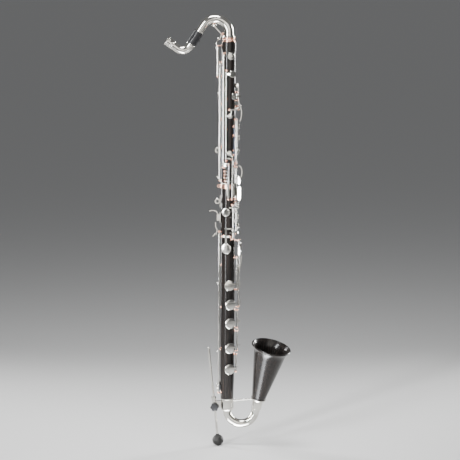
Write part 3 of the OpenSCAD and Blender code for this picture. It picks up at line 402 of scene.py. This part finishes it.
def bow():
    """The U tube: down into the bow, round it, and a slight bend to the front under the bell."""
    radii = (BOW_TUBE_R, BOW_TUBE_R - BOW_WALL)
    socket_l = 12
    top = Vector((BORE_X, 0, BOW_Z + socket_l))
    stations = [(top, Vector((0, 0, -1)), Vector((1, 0, 0)), *radii)]
    steps = 90
    for i in range(steps + 1):
        t = BOW_TURN * i / steps
        stations.append((on_bow(t), Vector((math.sin(t), 0, -math.cos(t))),
                         Vector((math.cos(t), 0, math.sin(t))), *radii))
    steps = 12
    for i in range(1, steps + 1):
        t = BELL_SIDE_LEAN * i / steps
        along = math.cos(t) * BOW_UP - Vector((0, math.sin(t), 0))
        place = BOW_END + SIDE_BEND_R * (math.sin(t) * BOW_UP - Vector((0, 1 - math.cos(t), 0)))
        stations.append((place, along, BOW_OUT, *radii))
    into_bell = 8
    stations.append((BELL_FOOT + into_bell * BELL_DIR, BELL_DIR, BOW_OUT, *radii))
    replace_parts(swept_tube("bow_tube", stations, "silver_tube"), "bow")


def bell():
    """A long cone that flares into a rounded lip, hollow down to the ferrule."""
    lip = BELL_L - 3
    cone_top = lip - 14
    flare_start = cone_top - 8
    cone_r = MOUTH_R - 9.4
    lip_r = 2.4
    tenon_r, tenon_l, bore_r = 12.95, 18, 10.6

    def flare(r0, z0, r1, z1, steps=14):
        """A curve that leaves the cone smoothly and turns out to the lip."""
        slope = (cone_r - BELL_FOOT_R - 0.6) / (cone_top - 6)
        straight = 0.62
        c = Vector((r0 + slope * (z1 - z0) * straight, z0 + (z1 - z0) * straight))
        a, b = Vector((r0, z0)), Vector((r1, z1))
        return [tuple((1 - t) ** 2 * a + 2 * t * (1 - t) * c + t * t * b)
                for t in (k / steps for k in range(steps + 1))]

    outside = rounded([(tenon_r, -tenon_l), (tenon_r, 0), (BELL_FOOT_R, 0), (BELL_FOOT_R + 0.6, 6),
                       (cone_r - 2.0, flare_start)], 0.7)
    outside += flare(cone_r - 2.0, flare_start, MOUTH_R - 1.7, lip - 1.8)
    rim = []
    for t in range(-45, 151, 15):
        a = math.radians(t)
        rim.append((MOUTH_R - lip_r + lip_r * math.cos(a), lip + 0.4 + lip_r * math.sin(a)))
    inside = flare(cone_r - 5.6, flare_start, MOUTH_R - 4.6, lip + 1.0)[::-1][1:]
    inside += [(bore_r, 10), (bore_r, -tenon_l)]
    bm = bmesh.new()
    lathe(bm, outside + rim + inside, in_bell(FERRULE_L), 128)
    piece = new_piece("bell_shell", bm, "grenadilla", mat=BELL_WOOD, sharp=60)
    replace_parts(piece, "bell")


def brace():
    """Three strands twisted into a rope, with a turned collar at each end."""
    a = Vector(BRACE_FROM)
    b = Vector(BRACE_TO)
    along = (b - a).normalized()
    first = along.cross(Vector((0, 1, 0))).normalized()
    second = along.cross(first)
    length = (b - a).length
    strands, strand_r, twist_r, turns = 3, 0.98, 1.0, 9
    steps, sides = 180, 14
    bm = bmesh.new()
    for strand in range(strands):
        rings = []
        for i in range(steps + 1):
            t = 2 * math.pi * (turns * i / steps + strand / strands)
            out = math.cos(t) * first + math.sin(t) * second
            place = a + along * (length * i / steps) + twist_r * out
            rings.append(circle(place, along, out, strand_r, sides))
        rows = loft(bm, rings)
        bm.faces.new(rows[0])
        bm.faces.new(rows[-1][::-1])
    collar = rounded([(0, 0), (2.4, 0), (2.4, 1.0), (2.9, 1.5), (2.9, 2.6), (2.0, 3.4), (0, 3.4)],
                     0.25)
    lathe(bm, collar, frame_along(a, along, first), 32)
    lathe(bm, collar, frame_along(b, -along, first), 32)
    new_piece("brace_rope", bm, "silver_tube")


# ---------------------------------------------------------------- key cups
BODY_R, SEAT_H, PAD_GAP, PAD_T = 20.3, 1.0, 0.15, 2.6
PAD_LEVEL = BODY_R + SEAT_H + PAD_GAP
CUP_LEVEL = PAD_LEVEL + PAD_T
# Upright hinges of the keys that stand open at rest: angle and distance from the bore.
H_LEFT, H_FINGER, H_RIGHT = (57, 26), (59, 26), (32, 26)
H_BASS_2, H_BASS_3, H_BASS_4 = (87, 31), (84, 28.2), (84, 28.2)
H_BASS_5, H_LOW_C = (72, 26.5), (-66, 26)
# Cups: body, angle, height, diameter, hinge and how far the key stands open.
CUPS = [
    ("trill_1", 16, 1103, 20.5, None, 0), ("trill_2", 27, 1053.5, 20, None, 0),
    ("throat_a", 90, 1021, 14, None, 0), ("throat_g_sharp", 41, 992, 19, None, 0),
    ("cross", 12, 938, 15, None, 0), ("side", 11, 834, 16, None, 0),
    ("left_hand", 97, 908, 22, H_LEFT, -7), ("left_hand", 97, 876, 19, H_LEFT, -7),
    ("left_hand", 97, 838, 18, H_LEFT, -7),
    ("right_hand", 97, 655, 20, H_FINGER, -7), ("right_hand", 97, 629, 20, H_FINGER, -7),
    ("right_finger", -14, 669.5, 23, H_RIGHT, 6), ("gate", -10, 567, 28, None, 0),
    ("bass_1", 14, 463, 29, None, 0), ("bass_2", 16, 409, 30, H_BASS_2, 6),
    ("bass_3", 15.5, 356, 30, H_BASS_3, 6), ("bass_4", 16, 285, 30, H_BASS_4, 6),
    ("bass_5", 14, 225, 29.5, H_BASS_5, 6), ("low_c", -106, 172, 27, H_LOW_C, 5)]


def around(angle, radius, height):
    """A point beside the bore. The angle runs from the front (-Y) towards +X."""
    t = math.radians(angle)
    return Vector((BORE_X + radius * math.sin(t), -radius * math.cos(t), height))


def radial(angle, height):
    """Local +Z points away from the bore and +Y up."""
    t = math.radians(angle)
    return Matrix(((math.cos(t), 0, math.sin(t), BORE_X), (math.sin(t), 0, -math.cos(t), 0),
                   (0, 1, 0, height), (0, 0, 0, 1)))


def turned(hinge, degrees):
    """Turn of a key about its upright hinge."""
    if not hinge:
        return Matrix.Identity(4)
    pivot = around(*hinge, 0)
    turn = Matrix.Rotation(math.radians(degrees), 4, "Z")
    return Matrix.Translation(pivot) @ turn @ Matrix.Translation(-pivot)


def cup_cap(bm, radius, matrix):
    """A smooth dome with a rolled rim and an engraved circle, closed underneath."""
    r, low, rise = radius + 0.1, PAD_LEVEL + 0.88, 1.75
    shoulder = CUP_LEVEL + 0.55

    def dome(x):
        """Height of the dome at a distance from its axis."""
        return shoulder + 0.3 + (rise - 0.3) * math.cos(math.pi / 2 * min(1, x / (r - 0.5))) ** 0.8

    groove, groove_half, groove_depth = 0.72 * r, 0.45, 0.16
    start, end = groove + groove_half, r - 0.55
    profile = [(x, dome(x)) for x in (k * (groove - groove_half) / 8 for k in range(9))]
    profile += [(groove - 0.2, dome(groove - 0.2) - groove_depth / 2),
                (groove, dome(groove) - groove_depth),
                (groove + 0.2, dome(groove + 0.2) - groove_depth / 2)]
    profile += [(x, dome(x)) for x in (start + (end - start) * k / 6 for k in range(7))]
    profile += [(r - 0.3, shoulder + 0.22), (r - 0.08, shoulder + 0.02), (r, shoulder - 0.3),
                (r, low + 0.12), (r - 0.12, low), (r - 0.7, low), (r - 0.7, low + 0.6),
                (0, low + 0.6)]
    lathe(bm, profile, matrix, 56)


def cup_caps():
    """One piece for each key, with a cap on every cup."""
    for body in dict.fromkeys(cup[0] for cup in CUPS):
        bm = bmesh.new()
        for owner, angle, height, diameter, hinge, open_by in CUPS:
            if owner == body:
                cup_cap(bm, diameter / 2, turned(hinge, open_by) @ radial(angle, height))
        new_piece("caps_" + body, bm, "silver_keys", body, sharp=55)


# ---------------------------------------------------------------- peg knob
PEG_LEAN, PEG_BALL_R, SCREW_Z = math.radians(5.8), 16.0, 98.0
PEG_UP = Vector((-math.sin(PEG_LEAN), 0, math.cos(PEG_LEAN)))
PEG_SIDE = Vector((math.cos(PEG_LEAN), 0, math.sin(PEG_LEAN)))
KNOB_R, KNOB_WAVE, KNOB_LOBES = 11.3, 1.05, 6
CROWN_R, CROWN_HEIGHT = 5.6, 17.7


def star_knob():
    """A moulded knob with soft lobes, a metal shank and a cap."""
    place = Vector((0, 0, PEG_BALL_R)) + SCREW_Z * PEG_UP
    matrix = frame_along(place, Vector((0, -1, 0)), PEG_SIDE)
    # Height along the shank, and how far the outline stands out from the lobed circle.
    outline = [(8.0, -1.6), (8.35, -0.7), (9.2, 0), (12.4, 0.15), (15.8, 0), (16.8, -0.5),
               (17.4, -1.7)]
    sides = 120
    turns = [2 * math.pi * k / sides for k in range(sides)]
    rings = []
    for height, out in outline:
        ring = []
        for t in turns:
            r = KNOB_R + KNOB_WAVE * math.cos(KNOB_LOBES * t) + out
            ring.append(matrix @ Vector((r * math.cos(t), r * math.sin(t), height)))
        rings.append(ring)
    rings.append([matrix @ Vector((CROWN_R * math.cos(t), CROWN_R * math.sin(t), CROWN_HEIGHT))
                  for t in turns])
    bm = bmesh.new()
    rows = loft(bm, rings)
    bm.faces.new(rows[0])
    bm.faces.new(rows[-1])
    knob = new_piece("star_knob", bm, "black_knob", "screw", sharp=50)
    bm = bmesh.new()
    shank = [(0, 3.5), (2.5, 3.5), (2.5, 8.4), (0, 8.4)]
    lathe(bm, rounded(shank, 0.2), matrix, 40)
    new_piece("knob_shank", bm, "silver_tube", "screw")
    bm = bmesh.new()
    cap = [(0, 17.2), (4.6, 17.2), (4.6, 17.75), (3.9, 17.9), (0, 18.0)]
    lathe(bm, rounded(cap, 0.2), matrix, 40)
    new_piece("knob_cap", bm, "black_knob", "screw")
    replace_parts(knob, "peg_screw")


# ---------------------------------------------------------------- posts beside the long tubes
# Heights of the four posts that hold the side rod, with the rod's angle and distance from the bore.
SIDE_POSTS = [908, 883, 842, 829]
SIDE_ANGLE, SIDE_ROD_DISTANCE, SIDE_ROD_R = 43, 24.2, 0.85
# Guides: angle and height, all under tubes at the same distance from the bore.
GUIDES = [(-65, 971), (-65, 928), (-65, 850), (-31, 1015), (-31, 905),
          (-14, 985), (-14, 900), (-66, 520), (-66, 400), (-66, 280)]
GUIDE_TOP = 23.0
POST_FOOT, POST_BALL_R = 20.2, 2.1


def turned_post(bm, matrix, top):
    """A screwed-in post: flange on the wood, waisted stem and a ball at the top."""
    foot, ball = POST_FOOT, POST_BALL_R
    profile = [(0, foot), (3.1, foot), (3.1, foot + 0.5), (2.6, foot + 0.9), (1.4, foot + 1.3),
               (1.2, top - ball - 0.3)]
    for t in range(50, 180, 13):
        a = math.radians(t)
        profile.append((ball * math.sin(a), top - ball - ball * math.cos(a) + 0.02))
    profile += [(0, top)]
    lathe(bm, profile, matrix, 32)


def extra_posts():
    """Posts with a thin rod at the right of the upper joint, and guides under the long tubes."""
    bm = bmesh.new()
    for height in SIDE_POSTS:
        turned_post(bm, radial(SIDE_ANGLE, height), SIDE_ROD_DISTANCE + POST_BALL_R)
    for angle, height in GUIDES:
        turned_post(bm, radial(angle, height), GUIDE_TOP)
    new_piece("guide_posts", bm, "copper_fittings")
    bm = bmesh.new()
    low, length = SIDE_POSTS[-1], SIDE_POSTS[0] - SIDE_POSTS[-1]
    rod = frame_along(around(SIDE_ANGLE, SIDE_ROD_DISTANCE, low), Vector((0, 0, 1)),
                      Vector((1, 0, 0)))
    lathe(bm, [(0, 0), (SIDE_ROD_R, 0), (SIDE_ROD_R, length), (0, length)], rod, 20)
    new_piece("side_rod", bm, "blued_steel")


# ---------------------------------------------------------------- hinge screw heads
# Upright hinges: angle, distance from the bore, and the heights of the two posts.
HINGES = [
    (-76, 31, 1046, 1131), (-65, 26, 757, 1086), (-31, 26, 795, 1110), (-14, 26, 814, 1063),
    (74, 26, 981, 1003), (57, 26, 805, 928), (26.5, 26, 706, 817), (57, 26, 706, 796),
    (4, 26, 706, 804), (32, 26, 594, 690), (59, 26, 610, 697), (72, 26.5, 450, 541),
    (87, 31, 400, 589), (84, 28.2, 341, 391), (84, 28.2, 275, 332), (72, 26.5, 216, 266),
    (-66, 26, 155, 614)]
POST_HALF = 2.6
# Every slot is turned this much further than the one before, so that they don't line up.
SLOT_STEP = 37


def slotted_head(bm, matrix, radius=1.22, height=0.5, slot=0.24, taper=0.93, points=15):
    """A round head split by a screwdriver slot."""
    cut = math.acos(slot / radius)
    for side in (-1, 1):
        arc = [(math.cos(t) * radius * side, math.sin(t) * radius)
               for t in (-cut + 2 * cut * k / (points - 1) for k in range(points))]
        low = [bm.verts.new(matrix @ Vector((x, y, 0))) for x, y in arc]
        high = [bm.verts.new(matrix @ Vector((x * taper, y * taper, height))) for x, y in arc]
        for k in range(points):
            n = (k + 1) % points
            bm.faces.new((low[k], low[n], high[n], high[k]))
        bm.faces.new(low[::-1])
        bm.faces.new(high)


def screw_heads():
    """Slotted ends of the hinge rods, seen in the top and bottom post of every hinge."""
    bm = bmesh.new()
    for number, (angle, radius, low, high) in enumerate(HINGES):
        spin = Matrix.Rotation(math.radians(SLOT_STEP * number), 4, "Z")
        top = Matrix.Translation(around(angle, radius, high + POST_HALF))
        bottom = Matrix.Translation(around(angle, radius, low - POST_HALF))
        bottom = bottom @ Matrix.Rotation(math.pi, 4, "X")
        slotted_head(bm, top @ spin)
        slotted_head(bm, bottom @ spin)
    new_piece("rod_screw_heads", bm, "steel_rods", sharp=30)


# ---------------------------------------------------------------- floor, lights and camera
FLOOR_RADIUS = 150.0
HORIZON, SKY = (0.128, 0.129, 0.131), (0.23, 0.233, 0.238)
SKY_HEIGHT = 0.35
MIDDLE = (0.02, 0, 0.62)
WIDE, NARROW = 110, 60
COOL, WHITE, WARM, PALE_BLUE = (0.97, 0.985, 1), (1, 1, 1), (1, 0.97, 0.92), (0.94, 0.97, 1)
# Panels that face the instrument: name, place, width, height, power, colour, spread in degrees.
PANELS = [
    ("key", (-1.45, -2.3, 1.2), 0.26, 2.3, 56, COOL, WIDE),
    ("front", (0.7, -2.65, 1.2), 2.0, 2.3, 11, WARM, WIDE),
    ("top", (-0.2, -0.6, 2.9), 1.2, 0.8, 30, WHITE, WIDE),
    ("rim", (2.1, 1.5, 1.1), 0.4, 2.0, 24, WHITE, NARROW),
    ("rim_left", (-2.2, 1.3, 1.1), 0.4, 2.0, 24, WHITE, NARROW)]
# Panels on the floor that face up, for the bell and the low keys: name, x, y, width, length,
# power and heading in degrees.
FLOOR_PANELS = [
    ("floor_panel_body", -0.285, -0.55, 0.06, 1.2, 5, -29),
    ("floor_panel_bell", -0.218, -0.55, 0.09, 1.2, 7, -29),
    ("floor_panel_cups", 1.0, -1.7, 0.40, 2.6, 5, 30)]
FLOOR_PANEL_Z = 0.012


def floor():
    """A wide, plain, pale floor that runs out to the horizon."""
    bm = bmesh.new()
    bmesh.ops.create_circle(bm, cap_ends=True, radius=FLOOR_RADIUS, segments=96)
    mesh = bpy.data.meshes.new("floor")
    bm.to_mesh(mesh)
    bm.free()
    obj = bpy.data.objects.new("floor", mesh)
    bpy.context.scene.collection.objects.link(obj)
    mat, bsdf = shader("floor_paper", (0.58, 0.58, 0.576), roughness=0.9)
    bsdf.inputs["Specular IOR Level"].default_value = 0.1
    obj.data.materials.append(mat)


def area_light(name, place, width, height, power, colour, spread=WIDE):
    """A rectangular soft panel, which the camera doesn't see. Returns its object."""
    data = bpy.data.lights.new(name, "AREA")
    data.shape = "RECTANGLE"
    data.size = width
    data.size_y = height
    data.energy = power
    data.spread = math.radians(spread)
    data.color = colour
    obj = bpy.data.objects.new(name, data)
    obj.location = place
    obj.visible_camera = False
    bpy.context.scene.collection.objects.link(obj)
    return obj


def studio():
    """A grey sky that meets the floor without a line, and soft panels round the instrument."""
    world = bpy.data.worlds.new("studio")
    world.use_nodes = True
    tree = world.node_tree
    background = tree.nodes["Background"]
    background.inputs["Strength"].default_value = 1.0
    coords = tree.nodes.new("ShaderNodeTexCoord")
    split = tree.nodes.new("ShaderNodeSeparateXYZ")
    sky = tree.nodes.new("ShaderNodeValToRGB")
    low, high = sky.color_ramp.elements
    low.position, low.color = 0.0, (*HORIZON, 1)
    high.position, high.color = SKY_HEIGHT, (*SKY, 1)
    tree.links.new(coords.outputs["Generated"], split.inputs["Vector"])
    tree.links.new(split.outputs["Z"], sky.inputs["Fac"])
    tree.links.new(sky.outputs["Color"], background.inputs["Color"])
    bpy.context.scene.world = world
    for name, place, width, height, power, colour, spread in PANELS:
        panel = area_light(name, place, width, height, power, colour, spread)
        towards = Vector(MIDDLE) - Vector(place)
        panel.rotation_euler = towards.to_track_quat("-Z", "Y").to_euler()
    for name, x, y, width, length, power, heading in FLOOR_PANELS:
        panel = area_light(name, (x, y, FLOOR_PANEL_Z), width, length, power, PALE_BLUE)
        panel.rotation_euler = (math.pi, 0, math.radians(heading))


CAMERA_TARGET = Vector((0.0312, 0, 0.617))
CAMERA_DISTANCE = 5.5
CAMERA_ELEVATION = math.radians(7.5)
CAMERA_ROLL = math.radians(0.3)
CAMERA_LENS, CAMERA_SENSOR = 153.8, 36


def camera():
    """Long lens a little above the middle of the instrument, rolled as the photograph is."""
    back = Vector((0, -math.cos(CAMERA_ELEVATION), math.sin(CAMERA_ELEVATION)))
    place = CAMERA_TARGET + CAMERA_DISTANCE * back
    data = bpy.data.cameras.new("camera")
    data.sensor_width = CAMERA_SENSOR
    data.lens = CAMERA_LENS
    data.clip_end = 2 * FLOOR_RADIUS
    obj = bpy.data.objects.new("camera", data)
    look = (CAMERA_TARGET - place).to_track_quat("-Z", "Y")
    turn = look @ Quaternion((0, 0, 1), CAMERA_ROLL)
    obj.matrix_world = Matrix.Translation(place) @ turn.to_matrix().to_4x4()
    bpy.context.scene.collection.objects.link(obj)
    bpy.context.scene.camera = obj


neck_tube()
neck_lower()
receiver()
bow()
bell()
brace()
cup_caps()
star_knob()
extra_posts()
screw_heads()
floor()
studio()
camera()
